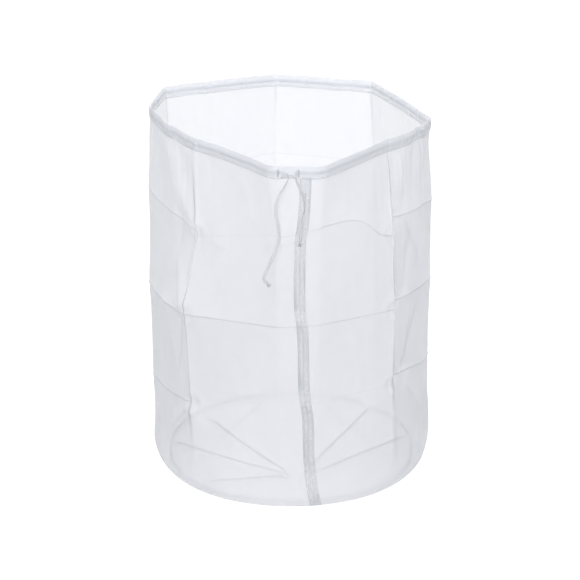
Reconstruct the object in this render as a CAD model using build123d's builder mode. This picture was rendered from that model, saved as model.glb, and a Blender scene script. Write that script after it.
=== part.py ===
"""Cylindrical drawstring laundry bag in fine mesh cloth, standing open on its round bottom.

Frame: millimetres, +Z up, origin at the centre of the bottom's underside. The side seam and the
drawstring's opening face -Y. The bottom is round. The mouth still shows the creases that the bag was
folded along, so the wall runs from a circle at its foot to an outline with nine bends at the casing.
"""

from build123d import *
import os
from math import cos, pi, radians, sin, tan

os.makedirs("parts", exist_ok=True)

# ---- driving dimensions -------------------------------------------------------------------------
bag_diameter = 300.0        # over the mesh wall
bag_height = 380.0          # floor to the top of the drawstring casing
mesh_thickness = 1.0        # body given to the thin cloth, so that it is a solid
bottom_edge_radius = 0.4    # softens the bottom panel's lower edge
foot_height = 10.0          # the wall's lowest stretch, which the bottom seam keeps round

# Creases of the mouth. The front one is a narrow flat that holds the drawstring's opening.
nose_left = -20.0
nose_right = 33.0
nose_inset = 2.0            # from the bag's radius back to that flat
nose_bend = 15.0            # radius of the bend at each end of that flat
# Each other crease: angle from +X in degrees, how far it stands in from the bag's radius, bend radius.
mouth_creases = [
    (-33.5, 30.0, 40.0),
    (1.5, 1.4, 12.0),
    (52.8, 4.4, 9.0),
    (97.0, 11.0, 10.0),
    (146.9, -12.3, 8.0),
    (164.5, -7.7, 14.0),
    (208.5, 32.8, 40.0),
]

casing_height = 14.0        # turned hem that holds the drawstring
casing_proud = 1.0          # how far the casing's face stands out from the wall
casing_skin = 0.8           # cloth on each side of the channel
channel_clearance = 0.4     # room beside the drawstring, on each face
casing_corner = 0.7         # soft edge of the folded casing

cord_width = 3.6            # flat braided drawstring
cord_thickness = 1.2
cord_rest_gap = 0.4         # the drawstring lies this far above the channel's floor

opening_left = -6.0         # ends of the gap in the casing that the drawstring comes out of
opening_right = 7.5
opening_clearance = 1.2     # room above the drawstring in that gap
left_exit_x = -2.5          # where each end of the drawstring leaves the casing
right_exit_x = 4.5
exit_stub_proud = 0.3       # how far the captive part of the drawstring stands out of the casing

seam_tape_width = 12.0      # tape that covers the wall's vertical joint
seam_tape_thickness = 0.7
seam_tape_top = 12.0        # the tape's middle is this far to the right of the bag's front line
seam_tape_foot = 20.0
seam_stitch_inset = 1.6     # outer stitch lines, in from the tape's edges

binding_height = 7.0        # tape that binds the seam between wall and bottom, inside the bag
binding_thickness = 0.9

thread_size = 0.5           # sewing thread, width of a stitch line
stitch_proud = 0.3          # how far a stitch line stands out of the cloth
casing_stitch_inset = 2.0   # stitch line above the casing's lower edge
bar_tack_width = 1.6        # dense stitches at each end of the opening
bar_tack_height = 8.0
bar_tack_gap = 1.2          # from the opening's end to the bar tack

knot_diameter = 6.4
cloth_gap = 0.1             # between curved cloth faces that lie on each other

# Each tail hangs in front of the wall. A point is (x, room between the tail and the drawstring's captive
# end, outwards, drop below the exit).
left_tail_route = [
    (left_exit_x, 0.2, 0.0),
    (-4.3, 2.5, 5.0),
    (-9.5, 3.1, 13.0),
    (-15.0, 3.1, 23.5),
    (-16.0, 2.9, 37.5),
    (-13.2, 2.7, 51.5),
    (-11.8, 2.6, 63.0),
    (-14.8, 2.3, 76.0),
    (-19.8, 1.6, 88.0),
    (-24.6, 0.6, 99.0),
    (-28.4, -0.2, 106.5),
    (-27.4, -0.6, 112.0),
    (-23.2, -0.6, 115.5),
]
right_tail_route = [
    (right_exit_x, 0.2, 0.0),
    (6.2, 2.5, 5.5),
    (10.0, 3.1, 12.0),
    (13.0, 3.1, 20.0),
    (13.8, 2.9, 29.0),
    (12.2, 2.7, 39.0),
    (10.6, 2.7, 52.0),
    (9.6, 2.7, 63.0),
    (8.9, 2.7, 72.0),
]

# ---- sizes that follow --------------------------------------------------------------------------
wall_radius = bag_diameter / 2
casing_bottom = bag_height - casing_height
channel_width = cord_thickness + 2 * channel_clearance
casing_thickness = channel_width + 2 * casing_skin
channel_height = casing_height - 2 * casing_skin
front_face = wall_radius - nose_inset           # the wall's face under the drawstring's opening
casing_face = front_face + casing_proud
cord_middle = casing_proud - casing_thickness / 2   # the drawstring's middle, from the wall's face
cord_low = casing_bottom + casing_skin + cord_rest_gap
cord_exit_z = cord_low + cord_width / 2
opening_height = casing_skin + cord_rest_gap + cord_width + opening_clearance
tail_start = casing_face + exit_stub_proud + cord_width / 2
arc_share = 0.45            # of a run of the cord that a bend may use at each end


def mouth_corners():
    """The mouth's corners in order, anticlockwise from the front, each with its bend's radius."""
    corners = [(Vector(nose_left, -front_face), nose_bend), (Vector(nose_right, -front_face), nose_bend)]
    for angle, inset, bend in mouth_creases:
        turn = radians(angle)
        reach = wall_radius - inset
        corners.append((Vector(reach * cos(turn), reach * sin(turn)), bend))
    return corners


def mouth_bends(standoff):
    """Start, middle and end of each bend of the outline that runs this far outside the mouth's."""
    corners = mouth_corners()
    bends = []
    for number, (corner, bend) in enumerate(corners):
        before = (corner - corners[number - 1][0]).normalized()
        after = (corners[(number + 1) % len(corners)][0] - corner).normalized()
        half_turn = radians(before.get_angle(after) / 2)
        outward = (before - after).normalized()
        centre = corner - outward * (bend / cos(half_turn))
        start_way = Vector(before.Y, -before.X)
        end_way = Vector(after.Y, -after.X)
        bends.append([centre + way * (bend + standoff) for way in (start_way, outward, end_way)])
    return bends


def mouth_edges(standoff, height):
    """The edges of the outline this far outside the wall's mouth: straight runs and bends in turn."""
    bends = [[point + Vector(0, 0, height) for point in bend] for bend in mouth_bends(standoff)]
    edges = []
    for before, (start, middle, end) in zip(bends[-1:] + bends[:-1], bends):
        edges.append(Edge.make_line(before[2], start))
        edges.append(Edge.make_three_point_arc(start, middle, end))
    return edges


def foot_edges(standoff, height):
    """The edges of a circle this far outside the wall's foot, one below each edge of the mouth."""
    radius = wall_radius + standoff
    rise = Vector(0, 0, height)
    ends = [point.normalized() * radius for bend in mouth_bends(0) for point in (bend[0], bend[2])]
    edges = []
    for start, end in zip(ends[-1:] + ends[:-1], ends):
        middle = (start + end).normalized() * radius
        edges.append(Edge.make_three_point_arc(start + rise, middle + rise, end + rise))
    return edges


def wall_body(standoff):
    """The closed body inside the surface this far outside the wall's face, ruled from edge to edge."""
    base = foot_edges(standoff, mesh_thickness)
    foot = foot_edges(standoff, foot_height)
    mouth = mouth_edges(standoff, casing_bottom)
    faces = [Face.make_surface_from_curves(low, high) for low, high in zip(base + foot, foot + mouth)]
    return Solid(Shell(faces + [Face(Wire(base)), Face(Wire(mouth))]))


def wall_layer(outer_standoff, inner_standoff):
    """Adds to the open part the layer between two distances outside the wall's face."""
    add(wall_body(outer_standoff))
    add(wall_body(inner_standoff), mode=Mode.SUBTRACT)


def mouth_strip(low, height, outer_standoff, thickness, mode=Mode.ADD):
    """Adds to the open part a strip that follows the mouth."""
    with BuildSketch(Plane.XY.offset(low)) as section:
        make_face(mouth_edges(outer_standoff, 0))
        make_face(mouth_edges(outer_standoff - thickness, 0), mode=Mode.SUBTRACT)
    extrude(section.sketch, amount=height, mode=mode)


def seam_strip(shift, width):
    """Keeps of the open part's front only a strip along the side seam, shifted sideways."""
    top, foot = casing_bottom - cloth_gap, mesh_thickness
    with BuildSketch(Plane.XZ) as strip:
        with BuildLine():
            Polyline(
                (seam_tape_foot + shift - width / 2, foot),
                (seam_tape_foot + shift + width / 2, foot),
                (seam_tape_top + shift + width / 2, top),
                (seam_tape_top + shift - width / 2, top),
                close=True,
            )
        make_face()
    extrude(strip.sketch, amount=bag_diameter, mode=Mode.INTERSECT)


def ring(outer_radius, inner_radius):
    """Draws a flat ring in the open sketch."""
    Circle(outer_radius)
    Circle(inner_radius, mode=Mode.SUBTRACT)


def front_block(x, z, width, height, near, far, mode=Mode.ADD):
    """Adds to the open part a block between two distances from the bag's axis, at the front."""
    with BuildSketch(Plane.XZ.offset(near)) as face:
        with Locations((x, z)):
            Rectangle(width, height)
    extrude(face.sketch, amount=far - near, mode=mode)


def tail_points(route):
    """The route's points in the bag's frame."""
    return [Vector(x, -(tail_start + out), cord_exit_z - drop) for x, out, drop in route]


def bend_radii(points):
    """The largest arc that the two runs beside each inner point leave room for."""
    radii = []
    for before, here, after in zip(points, points[1:], points[2:]):
        turn = (here - before).get_angle(after - here)
        shorter = min((here - before).length, (after - here).length)
        radii.append(arc_share * shorter / tan(radians(turn / 2)))
    return radii


def report_tube(name, part, line):
    """Prints the tube's bends, and its volume beside section times length."""
    section = pi * (cord_width / 2) ** 2
    print(name, "length", round(line.length, 1), "volume", round(part.volume, 1),
          "section x length", round(section * line.length, 1))


# ---- bottom panel: a round of mesh cloth ----------------------------------------------------------
with BuildPart() as bottom_panel:
    with BuildSketch():
        Circle(wall_radius)
    extrude(amount=mesh_thickness)
    fillet(bottom_panel.edges().sort_by(Axis.Z)[0], bottom_edge_radius)
bottom_panel.part.label = "bottom_panel"
export_step(bottom_panel.part, "parts/bottom_panel.step")

# ---- side wall: one panel of mesh cloth wrapped round the bottom panel ------------------------------
with BuildPart() as side_wall:
    wall_layer(0, -mesh_thickness)
side_wall.part.label = "side_wall"
export_step(side_wall.part, "parts/side_wall.step")

# ---- bottom seam binding: tape over the raw edges, standing inside the corner -----------------------
binding_outer_radius = wall_radius - mesh_thickness - cloth_gap
binding_inner_radius = binding_outer_radius - binding_thickness
with BuildPart() as bottom_seam_binding:
    with BuildSketch(Plane.XY.offset(mesh_thickness)):
        ring(binding_outer_radius, binding_inner_radius)
    extrude(amount=binding_height)
bottom_seam_binding.part.label = "bottom_seam_binding"
export_step(bottom_seam_binding.part, "parts/bottom_seam_binding.step")

# ---- bottom seam stitching: the line that holds the binding ----------------------------------------
binding_stitch_outer = binding_inner_radius - cloth_gap
with BuildPart() as bottom_seam_stitching:
    with BuildSketch(Plane.XY.offset(mesh_thickness + binding_height / 2)):
        ring(binding_stitch_outer, binding_stitch_outer - stitch_proud)
    extrude(amount=thread_size)
bottom_seam_stitching.part.label = "bottom_seam_stitching"
export_step(bottom_seam_stitching.part, "parts/bottom_seam_stitching.step")

# ---- side seam tape: covers the wall's vertical joint, from the bottom seam to the casing -----------
tape_face = cloth_gap + seam_tape_thickness
with BuildPart() as side_seam_tape:
    wall_layer(tape_face, cloth_gap)
    seam_strip(0, seam_tape_width)
side_seam_tape.part.label = "side_seam_tape"
export_step(side_seam_tape.part, "parts/side_seam_tape.step")

# ---- side seam stitching: three upright lines along the tape ----------------------------------------
line_spacing = seam_tape_width / 2 - seam_stitch_inset
stitch_inner = tape_face + cloth_gap / 2
stitch_lines = []
for shift in (-line_spacing, 0, line_spacing):
    with BuildPart() as stitch_line:
        wall_layer(stitch_inner + stitch_proud, stitch_inner)
        seam_strip(shift, thread_size)
    stitch_lines.append(stitch_line.part)
with BuildPart() as side_seam_stitching:
    add(stitch_lines)
side_seam_stitching.part.label = "side_seam_stitching"
export_step(side_seam_stitching.part, "parts/side_seam_stitching.step")

# ---- drawstring casing: a folded strip round the mouth, hollow, with a gap at its lower front --------
opening_middle = (opening_left + opening_right) / 2
opening_width = opening_right - opening_left
with BuildPart() as drawstring_casing:
    mouth_strip(casing_bottom, casing_height, casing_proud, casing_thickness)
    fillet(drawstring_casing.faces().sort_by(Axis.Z)[-1].edges(), casing_corner)
    mouth_strip(casing_bottom + casing_skin, channel_height, casing_proud - casing_skin, channel_width,
                mode=Mode.SUBTRACT)
    front_block(opening_middle, casing_bottom, opening_width, 2 * opening_height,
                front_face + cord_middle, casing_face + casing_skin, mode=Mode.SUBTRACT)
drawstring_casing.part.label = "drawstring_casing"
export_step(drawstring_casing.part, "parts/drawstring_casing.step")

# ---- casing stitching: the hem's stitch line, broken at the opening ----------------------------------
hem_gap = opening_width + 2 * bar_tack_gap + bar_tack_width
hem_stitch_z = casing_bottom + casing_stitch_inset
with BuildPart() as casing_stitching:
    mouth_strip(hem_stitch_z, thread_size, casing_proud + cloth_gap + stitch_proud, stitch_proud)
    front_block(opening_middle, hem_stitch_z, hem_gap, casing_height, front_face, casing_face + casing_skin,
                mode=Mode.SUBTRACT)
casing_stitching.part.label = "casing_stitching"
export_step(casing_stitching.part, "parts/casing_stitching.step")

# ---- bar tacks: dense stitches that stop the casing from tearing at its opening ----------------------
tack_z = casing_bottom + casing_stitch_inset + bar_tack_height / 2
tack_inner = casing_face + cloth_gap
with BuildPart() as bar_tacks:
    for x in (opening_left - bar_tack_gap, opening_right + bar_tack_gap):
        front_block(x, tack_z, bar_tack_width, bar_tack_height, tack_inner, tack_inner + stitch_proud)
bar_tacks.part.label = "bar_tacks"
export_step(bar_tacks.part, "parts/bar_tacks.step")

# ---- drawstring: the part that the casing holds, once round the mouth, with both ends turned out ------
exit_middle = (left_exit_x + right_exit_x) / 2
exit_gap = right_exit_x - left_exit_x - cord_thickness
cord_front = front_face + cord_middle
with BuildPart() as drawstring:
    mouth_strip(cord_low, cord_width, cord_middle + cord_thickness / 2, cord_thickness)
    front_block(exit_middle, cord_exit_z, exit_gap, 2 * cord_width, cord_front - cord_width,
                cord_front + cord_width, mode=Mode.SUBTRACT)
    for x in (left_exit_x, right_exit_x):
        front_block(x, cord_exit_z, cord_thickness, cord_width, cord_front, casing_face + exit_stub_proud)
drawstring.part.label = "drawstring"
export_step(drawstring.part, "parts/drawstring.step")

# ---- left tail: the drawstring's end that hangs outside, with a fold just above its knot -------------
left_points = tail_points(left_tail_route)
left_radii = bend_radii(left_points)
print("left tail radii", [round(r, 1) for r in left_radii])
with BuildPart() as left_tail:
    with BuildLine() as left_line:
        FilletPolyline(*left_points, radius=left_radii)
    with BuildSketch(Plane(origin=left_line.line @ 0, z_dir=left_line.line % 0)):
        Circle(cord_width / 2)
    sweep(path=left_line.line)
left_tail.part.label = "left_tail"
export_step(left_tail.part, "parts/left_tail.step")
report_tube("left tail", left_tail.part, left_line.wire())

# ---- left tail knot ----------------------------------------------------------------------------------
with BuildPart() as left_tail_knot:
    with Locations(left_points[-1]):
        Sphere(knot_diameter / 2)
left_tail_knot.part.label = "left_tail_knot"
export_step(left_tail_knot.part, "parts/left_tail_knot.step")

# ---- right tail: the drawstring's other end ------------------------------------------------------------
right_points = tail_points(right_tail_route)
right_radii = bend_radii(right_points)
print("right tail radii", [round(r, 1) for r in right_radii])
with BuildPart() as right_tail:
    with BuildLine() as right_line:
        FilletPolyline(*right_points, radius=right_radii)
    with BuildSketch(Plane(origin=right_line.line @ 0, z_dir=right_line.line % 0)):
        Circle(cord_width / 2)
    sweep(path=right_line.line)
right_tail.part.label = "right_tail"
export_step(right_tail.part, "parts/right_tail.step")
report_tube("right tail", right_tail.part, right_line.wire())

# ---- right tail knot -----------------------------------------------------------------------------------
with BuildPart() as right_tail_knot:
    with Locations(right_points[-1]):
        Sphere(knot_diameter / 2)
right_tail_knot.part.label = "right_tail_knot"
export_step(right_tail_knot.part, "parts/right_tail_knot.step")
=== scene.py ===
"""Looks of the drawstring laundry bag: a crisp, see-through mesh bag that stands open on its round bottom.

Metres, +Z up, the bag's front towards -Y. A place on the wall is given by `around`, the distance along
the bag's girth at half height, from the middle of the front towards +X, and by its height.
"""

import math

import bpy
import numpy as np
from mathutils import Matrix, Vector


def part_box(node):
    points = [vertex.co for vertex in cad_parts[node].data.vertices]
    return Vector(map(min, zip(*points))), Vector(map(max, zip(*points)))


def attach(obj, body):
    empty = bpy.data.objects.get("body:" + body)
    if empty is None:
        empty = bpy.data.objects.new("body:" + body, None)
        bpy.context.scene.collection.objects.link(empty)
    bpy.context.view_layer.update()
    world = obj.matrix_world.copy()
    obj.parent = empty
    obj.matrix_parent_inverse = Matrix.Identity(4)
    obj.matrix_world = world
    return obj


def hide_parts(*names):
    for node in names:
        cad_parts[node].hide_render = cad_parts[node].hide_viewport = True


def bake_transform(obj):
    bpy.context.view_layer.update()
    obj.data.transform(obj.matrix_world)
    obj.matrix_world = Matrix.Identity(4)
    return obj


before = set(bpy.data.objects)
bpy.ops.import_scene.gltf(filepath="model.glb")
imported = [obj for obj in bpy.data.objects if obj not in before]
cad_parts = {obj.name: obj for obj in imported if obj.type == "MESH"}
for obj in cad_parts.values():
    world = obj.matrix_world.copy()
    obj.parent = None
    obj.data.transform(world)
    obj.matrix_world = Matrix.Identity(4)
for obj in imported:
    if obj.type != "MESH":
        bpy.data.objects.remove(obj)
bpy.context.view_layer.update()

MM = 0.001

# ---- sizes read from the frame ---------------------------------------------------------
bottom_low, bottom_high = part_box("bottom_panel")
casing_low, casing_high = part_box("drawstring_casing")
BAG_RADIUS = (bottom_high[0] - bottom_low[0]) / 2
CASING_BOTTOM = casing_low[2]
CASING_HEIGHT = casing_high[2] - casing_low[2]

# ---- the bag's creases -----------------------------------------------------------------
# It was packed flat, folded in four each way. Nine creases run down it, in this order anticlockwise from
# the front: nose left, nose right, right front, right, right back, back, left back, left, left front.
# For each level fold and for the mouth, in mm: where it crosses each crease (x, y), its height on the
# panel before the crease and on the panel after it, and the crease's bend radius there.
LOWER_FOLD = [
    (-12, -148.2, 117, 117, 24), (27, -147.8, 119, 119, 24), (106, -104, 121, 131, 4),
    (149.5, 6, 111, 111, 16), (95, 116, 104, 104, 5), (-18, 149.5, 98, 98, 5),
    (-126, 82, 92, 92, 8), (-150.5, 12, 84, 84, 16), (-105, -105.5, 101, 101, 4),
]
MIDDLE_FOLD = [
    (-12, -148.6, 204, 204, 20), (27, -147.6, 206, 206, 20), (107.5, -99.5, 204, 214, 3),
    (149.5, 5, 201, 201, 16), (94, 119, 198, 198, 4), (-18, 149, 194, 194, 4),
    (-127, 84, 190, 190, 8), (-153, 15, 191, 191, 16), (-112, -102, 200, 200, 3),
]
UPPER_FOLD = [
    (-14, -148, 304, 304, 20), (28, -148, 310, 310, 20), (104, -92, 284, 304, 4),
    (149, 4, 291, 291, 14), (90, 118, 290, 290, 4), (-18, 145, 292, 292, 4),
    (-131, 86, 288, 288, 8), (-153, 20, 298, 298, 16), (-97.5, -86, 288, 282, 4),
]
MOUTH = [
    (-20, -147.5, 366, 366, 15), (33, -147.5, 366, 366, 18), (99, -64, 366, 366, 40),
    (148.5, 4, 366, 366, 12), (88, 116, 371, 371, 9), (-17, 138, 372, 372, 10),
    (-136, 88.5, 374, 374, 8), (-152, 42, 368, 368, 14), (-103, -56, 366, 366, 40),
]
# Where each crease meets the round foot: degrees from +X.
FOOT_ANGLES = [-95, -79, -41, 2, 50, 97, 147, 175, 225.5]
# How far each panel bulges at each level, middle of the panel, in mm. The first panel ends at nose left.
BULGES = [
    [1, 0, 1, 4, 3, 2, 2, 2, 4],
    [0, 0, 0, 3, 3, 2, 2, 2, 3],
    [0, 0, 2, 4, 2, 2, 2, 1, 4],
    [-3, 0, 0, 5, 1.5, 0, 1, 0, 5],
]
# How plainly the lower, middle and upper folds show on each of those panels.
FOLD_STRENGTH = np.array([
    [0.0, 0.1, 0.15, 1.0, 0.4, 0.3, 0.3, 0.6, 0.9],
    [0.85, 0.4, 0.7, 1.0, 0.5, 0.3, 0.3, 0.6, 1.0],
    [0.15, 0.4, 0.8, 0.9, 0.5, 0.25, 0.3, 0.5, 0.8],
])
# Folds that lie across the panels: how far round from the front and how high each starts and ends, how
# far it stands out (all in mm), and how plainly it shows.
WRINKLES = [
    (-128, 200, -165, 262, 4.0, 0.3), (-134, 198, -152, 112, -5.0, 0.25), (-172, 202, -146, 112, 3.6, 0.0),
    (-122, 286, -160, 330, 2.6, 0.1), (-128, 282, -134, 214, -3.6, 0.15), (-150, 300, -162, 228, -3.0, 0.1),
    (-146, 366, -134, 318, -2.6, 0.1), (-176, 366, -160, 300, 2.4, 0.0), (138, 300, 182, 236, 3.4, 0.25),
    (142, 214, 160, 286, -4.0, 0.15), (166, 212, 178, 290, 2.6, 0.0), (140, 130, 190, 196, -4.4, 0.35),
    (143, 136, 160, 204, 3.6, 0.25), (142, 112, 192, 56, 3.2, 0.15), (150, 362, 140, 312, 2.4, 0.1),
    (180, 366, 166, 300, -2.6, 0.1), (-120, 98, -168, 50, 3.2, 0.2), (-101, 283, -80, 273, 1.6, 0.15),
    (-60, 366, -36, 296, 1.3, 0.0), (44, 364, 66, 318, 1.2, 0.0), (10, 300, -34, 288, 1.6, 0.1),
    (120, 290, 128, 214, 1.4, 0.2), (30, 120, 96, 56, 1.4, 0.1), (-30, 118, -92, 60, 1.4, 0.1),
]


FOOT_TOP = 8 * MM           # the bottom seam keeps the wall round up to here
WALL_START = 0.5 * MM       # the wall's lower edge
LAP = 1.0 * MM              # how far the wall runs up into the casing

# ---- drawstring tails: their routes, from the exit -------------------------------------
CORD_WIDTH, CORD_THICKNESS = 3.6 * MM, 1.1 * MM
LEFT_TAIL = [
    (-2.5, -151.3, 369.0), (-4.3, -153.6, 364.0), (-9.5, -154.2, 356.0),
    (-15.0, -154.2, 345.5), (-16, -154.0, 331.5), (-13.2, -153.8, 317.5),
    (-11.8, -153.7, 306.0), (-14.8, -153.4, 293.0), (-19.8, -153.4, 281.0),
    (-24.6, -153.3, 270.0), (-28.4, -153.2, 262.5), (-27.4, -153.2, 257.0),
    (-23.2, -153.4, 253.5),
]
RIGHT_TAIL = [
    (4.5, -151.3, 369.0), (6.2, -153.6, 363.5), (10, -154.2, 357.0),
    (13, -154.2, 349.0), (13.8, -154.0, 340.0), (12.2, -153.8, 330.0),
    (10.6, -153.8, 317.0), (9.6, -153.8, 306.0), (8.9, -153.8, 297.0),
]

scene = bpy.context.scene


# ---- camera ----------------------------------------------------------------------------
def add_camera(target, elevation, distance, lens):
    """A long lens that looks along +Y, down at the target."""
    camera = bpy.data.objects.new("camera", bpy.data.cameras.new("camera"))
    scene.collection.objects.link(camera)
    tilt = math.radians(elevation)
    away, above = distance * math.cos(tilt), distance * math.sin(tilt)
    camera.location = (target[0], target[1] - away, target[2] + above)
    camera.rotation_euler = (math.pi / 2 - tilt, 0, 0)
    camera.data.lens = lens
    camera.data.sensor_width = 36
    camera.data.clip_end = 50
    scene.camera = camera


add_camera((-0.0013, 0, 0.186), elevation=21.9, distance=3.21, lens=184.7)


# ---- small helpers ---------------------------------------------------------------------
def add_mesh(name, points, quads, material, more_faces=()):
    """A smooth mesh object from arrays of points and faces, and lists of the faces that close its ends."""
    mesh = bpy.data.meshes.new(name)
    mesh.from_pydata(points.reshape(-1, 3).tolist(), [], quads.tolist() + list(more_faces))
    mesh.polygons.foreach_set("use_smooth", np.ones(len(mesh.polygons), bool))
    mesh.materials.append(material)
    mesh.update()
    piece = bpy.data.objects.new(name, mesh)
    scene.collection.objects.link(piece)
    return piece


def stand_for(piece, cad_node, body=None):
    """Hides the CAD solid that the piece stands for, and, when a body is given, puts the piece under that
    body.
    """
    if body:
        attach(piece, body)
    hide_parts(cad_node)
    return piece


def grid_quads(rows, columns, wrap_rows=False, wrap_columns=False):
    """Faces of a grid whose points are stored row by row; they face the way rows x columns turns."""
    r = np.arange(rows if wrap_rows else rows - 1)[:, None]
    c = np.arange(columns if wrap_columns else columns - 1)[None, :]
    r1, c1 = (r + 1) % rows, (c + 1) % columns
    corners = [r * columns + c, r * columns + c1, r1 * columns + c1, r1 * columns + c]
    return np.stack(np.broadcast_arrays(*corners), axis=-1).reshape(-1, 4)


def add_attribute(piece, name, values):
    """One number for each point of the mesh."""
    attribute = piece.data.attributes.new(name, "FLOAT", "POINT")
    attribute.data.foreach_set("value", values.ravel().astype(np.float32))


def add_uv(piece, across, along):
    """A UV map from one pair of numbers for each point."""
    layer = piece.data.uv_layers.new(name="cloth")
    index = np.empty(len(piece.data.loops), np.int32)
    piece.data.loops.foreach_get("vertex_index", index)
    uv = np.stack([across.ravel()[index], along.ravel()[index]], axis=1)
    layer.data.foreach_set("uv", uv.ravel().astype(np.float32))


def unit(vectors):
    return vectors / np.maximum(np.linalg.norm(vectors, axis=-1, keepdims=True), 1e-12)


def bump(distance, width):
    """A smooth hump: 1 at no distance, falling off as a bell of this width."""
    return np.exp(-((distance / width) ** 2))


def smooth_step(x):
    x = np.clip(x, 0, 1)
    return x * x * (3 - 2 * x)


def full_turn(count):
    """Even angles once round, from 0."""
    return np.arange(count) / count * 2 * np.pi


def squared(wave, power):
    """A sine or cosine made squarer, so that a section's sides come out flatter."""
    return np.sign(wave) * np.abs(wave) ** power


# ---- colours ---------------------------------------------------------------------------
def linear(hex_colour):
    """An sRGB hex colour as linear RGBA."""
    parts = [int(hex_colour[i:i + 2], 16) / 255 for i in (1, 3, 5)]
    return [p / 12.92 if p <= 0.04045 else ((p + 0.055) / 1.055) ** 2.4 for p in parts] + [1.0]


def node(tree, kind, links=None, **settings):
    """Adds a node: settings are its properties, links are {socket: output or value}."""
    made = tree.nodes.new("ShaderNode" + kind)
    for key, value in settings.items():
        setattr(made, key, value)
    for socket, source in (links or {}).items():
        if isinstance(source, bpy.types.NodeSocket):
            tree.links.new(source, made.inputs[socket])
        else:
            made.inputs[socket].default_value = source
    return made


def new_material(name):
    material = bpy.data.materials.new(name)
    material.use_nodes = True
    material.node_tree.nodes.clear()
    return material, material.node_tree


def math_node(tree, operation, *values, clamp=False):
    """The result of a sum on one, two or three values or outputs."""
    links = dict(enumerate(values))
    return node(tree, "Math", links, operation=operation, use_clamp=clamp).outputs[0]


def in_range(tree, value, low, high, at_low, at_high):
    """Turns a value between low and high into one between at_low and at_high."""
    return node(tree, "MapRange", {0: value, 1: low, 2: high, 3: at_low, 4: at_high}).outputs[0]


def mixed(tree, share, first, second):
    """The first shader with a share of the second."""
    return node(tree, "MixShader", {0: share, 1: first.outputs[0], 2: second.outputs[0]})


def across_and_along(tree):
    """The two distances of the piece's UV map."""
    place = node(tree, "UVMap", uv_map="cloth").outputs[0]
    return node(tree, "SeparateXYZ", {0: place}).outputs[:2]


def woven_threads(tree, spacing):
    """Plain weave: two families of rounded threads, each a sine across its own direction, multiplied."""
    phases = [math_node(tree, "MULTIPLY", axis, 2 * math.pi / spacing) for axis in across_and_along(tree)]
    return math_node(tree, "MULTIPLY", *(math_node(tree, "SINE", phase) for phase in phases))


def ridges(tree, slanted, pitch, groove_shade, colour, strength, depth):
    """Rounded rows, a sine of the slanted distance: their tint, with painted shade darkening the grooves, and
    their relief.
    """
    phase = math_node(tree, "MULTIPLY", slanted, 2 * math.pi / pitch)
    rows = math_node(tree, "MULTIPLY_ADD", math_node(tree, "SINE", phase), 0.5, 0.5)
    # painted shade: the grooves are tinted towards the groove shade colour
    tint = node(tree, "Mix", {0: rows, 6: linear(groove_shade), 7: linear(colour)}, data_type="RGBA")
    relief = node(tree, "Bump", {"Height": rows, "Strength": strength, "Distance": depth})
    return tint.outputs[2], relief.outputs[0]


def see_through(tree, share, lit):
    """Ends a material: share of it is the lit surface, and light passes straight through the rest."""
    gaps = node(tree, "BsdfTransparent", {0: (1, 1, 1, 1)})
    node(tree, "OutputMaterial", {"Surface": mixed(tree, share, gaps, lit).outputs[0]})


def sheer_cloth(name, colour, painted_shade_colour, opacity, weave, spacing, denser=0.0, translucent=0.45):
    """Fine polyester voile, heat set: a see-through plain weave of smooth filament yarn. Light passes
    between the threads, the threads scatter it both ways, and a sharp crease is denser, and painted shade
    greys it."""
    material, tree = new_material(name)
    both = woven_threads(tree, spacing)
    place = node(tree, "TexCoord").outputs["Object"]
    soft = node(tree, "TexNoise", {"Vector": place, "Scale": 14.0, "Detail": 3.0, "Roughness": 0.55})
    density = math_node(tree, "MULTIPLY_ADD", both, weave, opacity)
    cloudy = in_range(tree, soft.outputs[0], 0.3, 0.7, -0.03, 0.03)
    density = math_node(tree, "ADD", density, cloudy)
    tint = node(tree, "Mix", {6: linear(colour), 7: linear(painted_shade_colour)}, data_type="RGBA")
    if denser:  # only pieces with a crease attribute
        # painted shade: the crease mark greys the tint towards the painted shade colour, and makes the cloth
        # denser
        density_and_shade_mark = node(tree, "Attribute", attribute_name="crease").outputs["Fac"]
        tree.links.new(math_node(tree, "MAXIMUM", density_and_shade_mark, 0.0), tint.inputs[0])
        density = math_node(tree, "ADD", density, math_node(tree, "MULTIPLY", density_and_shade_mark, denser), clamp=True)
    else:
        tint.inputs[0].default_value = 0.0
    height = math_node(tree, "MULTIPLY", both, 0.5)
    relief = node(tree, "Bump", {"Height": height, "Strength": 0.25, "Distance": 0.2 * MM})
    surface = node(tree, "BsdfPrincipled", {
        "Base Color": tint.outputs[2], "Roughness": 0.62, "Specular IOR Level": 0.25,
        "Sheen Weight": 0.15, "Sheen Roughness": 0.4, "Normal": relief.outputs[0]})
    behind = node(tree, "BsdfTranslucent", {"Color": tint.outputs[2], "Normal": relief.outputs[0]})
    see_through(tree, density, mixed(tree, translucent, surface, behind))
    return material


def braided_cord(name, colour, groove_shade):
    """Flat braid of soft polyester yarn, loosely made, so a little light gets through it: rows of chevrons
    along its length, matt, with painted shade darkening the grooves."""
    material, tree = new_material(name)
    across, along = across_and_along(tree)
    slanted = math_node(tree, "ADD", along, math_node(tree, "ABSOLUTE", across))
    tint, relief = ridges(tree, slanted, 1.3 * MM, groove_shade, colour, strength=0.5, depth=0.25 * MM)
    surface = node(tree, "BsdfPrincipled", {
        "Base Color": tint, "Roughness": 0.75, "Specular IOR Level": 0.3,
        "Sheen Weight": 0.2, "Normal": relief})
    behind = node(tree, "BsdfTranslucent", {"Color": tint})
    see_through(tree, 0.8, mixed(tree, 0.6, surface, behind))
    return material


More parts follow.
